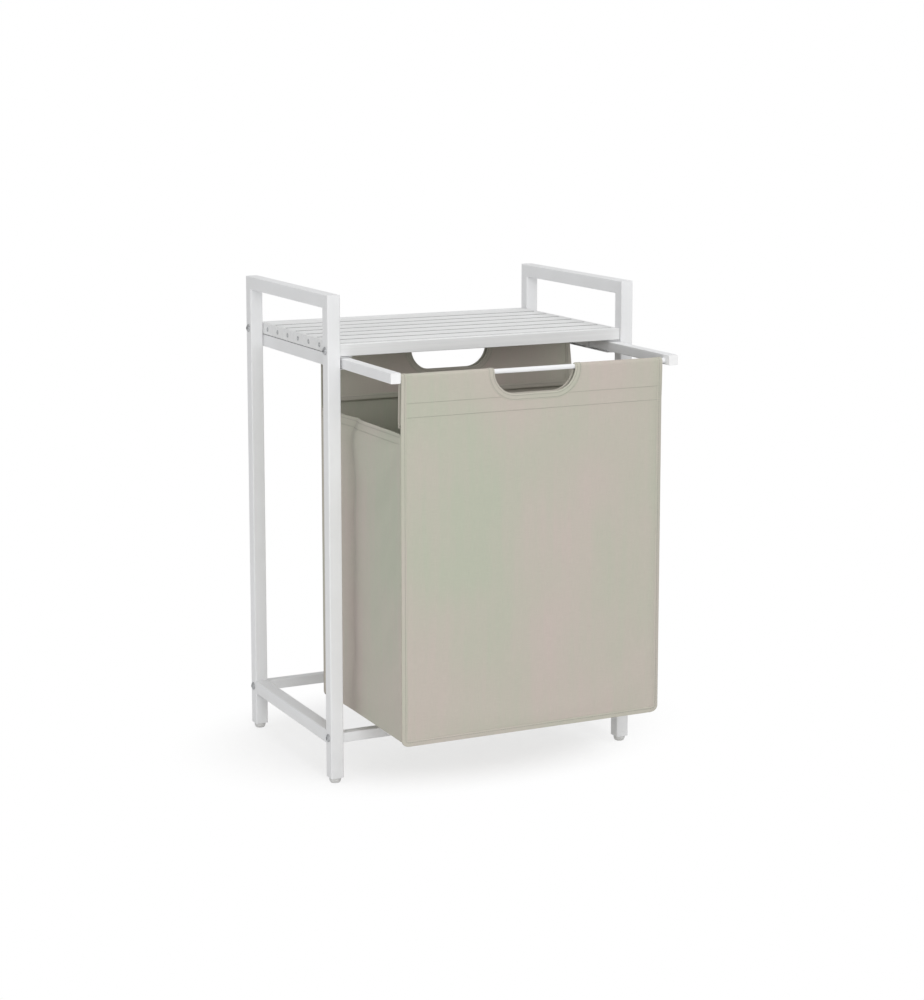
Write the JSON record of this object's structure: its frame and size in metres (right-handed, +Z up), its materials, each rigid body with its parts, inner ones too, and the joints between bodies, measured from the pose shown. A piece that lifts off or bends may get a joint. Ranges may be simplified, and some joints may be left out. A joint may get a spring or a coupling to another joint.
{
  "type": "laundry sorter",
  "caption": "White side table with a slatted shelf, under which a greige cloth laundry bag hangs on a frame that slides out to the front.",
  "frame": {"origin": "on the floor, in the middle of the ground that the object covers at rest, with its bag drawn out", "axes": "+Z up, +X to the right when facing the bag, -Y towards the front, where the bag is drawn out"},
  "size_m": [0.5066, 0.5, 0.72],
  "materials": {
    "frame_paint": "white satin powder coat",
    "shelf_board": "white satin lacquer on board",
    "bolt_steel": "zinc-plated, dull",
    "white_plastic": "white moulded, satin",
    "foot_plastic": "pale grey moulded, matte",
    "bag_cloth": "greige plain-weave polyester, matte with a faint sheen",
    "base_board": "grey-beige stiff board, matte"
  },
  "bodies": {
    "frame": {"left_front_post": "frame_paint", "left_rear_post": "frame_paint", "left_handle_rail": "frame_paint", "left_lower_rail": "frame_paint", "right_front_post": "frame_paint", "right_rear_post": "frame_paint", "right_handle_rail": "frame_paint", "right_lower_rail": "frame_paint", "left_front_foot": "foot_plastic", "left_rear_foot": "foot_plastic", "right_front_foot": "foot_plastic", "right_rear_foot": "foot_plastic", "lower_front_bar": "frame_paint", "left_front_bar_insert": "white_plastic", "right_front_bar_insert": "white_plastic", "lower_rear_bar": "frame_paint", "left_rear_bar_insert": "white_plastic", "right_rear_bar_insert": "white_plastic", "left_front_lower_bolt": "bolt_steel", "left_front_shelf_bolt": "bolt_steel", "left_rear_lower_bolt": "bolt_steel", "left_rear_shelf_bolt": "bolt_steel", "right_front_lower_bolt": "bolt_steel", "right_front_shelf_bolt": "bolt_steel", "right_rear_lower_bolt": "bolt_steel", "right_rear_shelf_bolt": "bolt_steel", "shelf_front_rail": "shelf_board", "shelf_rear_rail": "shelf_board", "shelf_left_batten": "shelf_board", "shelf_right_batten": "shelf_board", "shelf_slat_1": "shelf_board", "shelf_slat_2": "shelf_board", "shelf_slat_3": "shelf_board", "shelf_slat_4": "shelf_board", "shelf_slat_5": "shelf_board", "shelf_slat_6": "shelf_board", "shelf_slat_7": "shelf_board", "left_guide": "frame_paint", "left_front_guide_screw": "bolt_steel", "left_rear_guide_screw": "bolt_steel", "right_guide": "frame_paint", "right_front_guide_screw": "bolt_steel", "right_rear_guide_screw": "bolt_steel"},
    "bag_carriage": {"left_slide_rail": "frame_paint", "left_slide_front_cap": "white_plastic", "left_slide_rear_cap": "white_plastic", "right_slide_rail": "frame_paint", "right_slide_front_cap": "white_plastic", "right_slide_rear_cap": "white_plastic", "front_hanging_bar": "frame_paint", "rear_hanging_bar": "frame_paint", "bag_front_panel": "bag_cloth", "bag_rear_panel": "bag_cloth", "bag_left_panel": "bag_cloth", "bag_right_panel": "bag_cloth", "bag_floor_panel": "bag_cloth", "bag_base_board": "base_board"}
  },
  "joints": [
    {"name": "bag_slide", "type": "slide", "parent": "frame", "child": "bag_carriage", "axis": [0, -1, 0], "range_m": [-0.165, 0.045]}
  ]
}
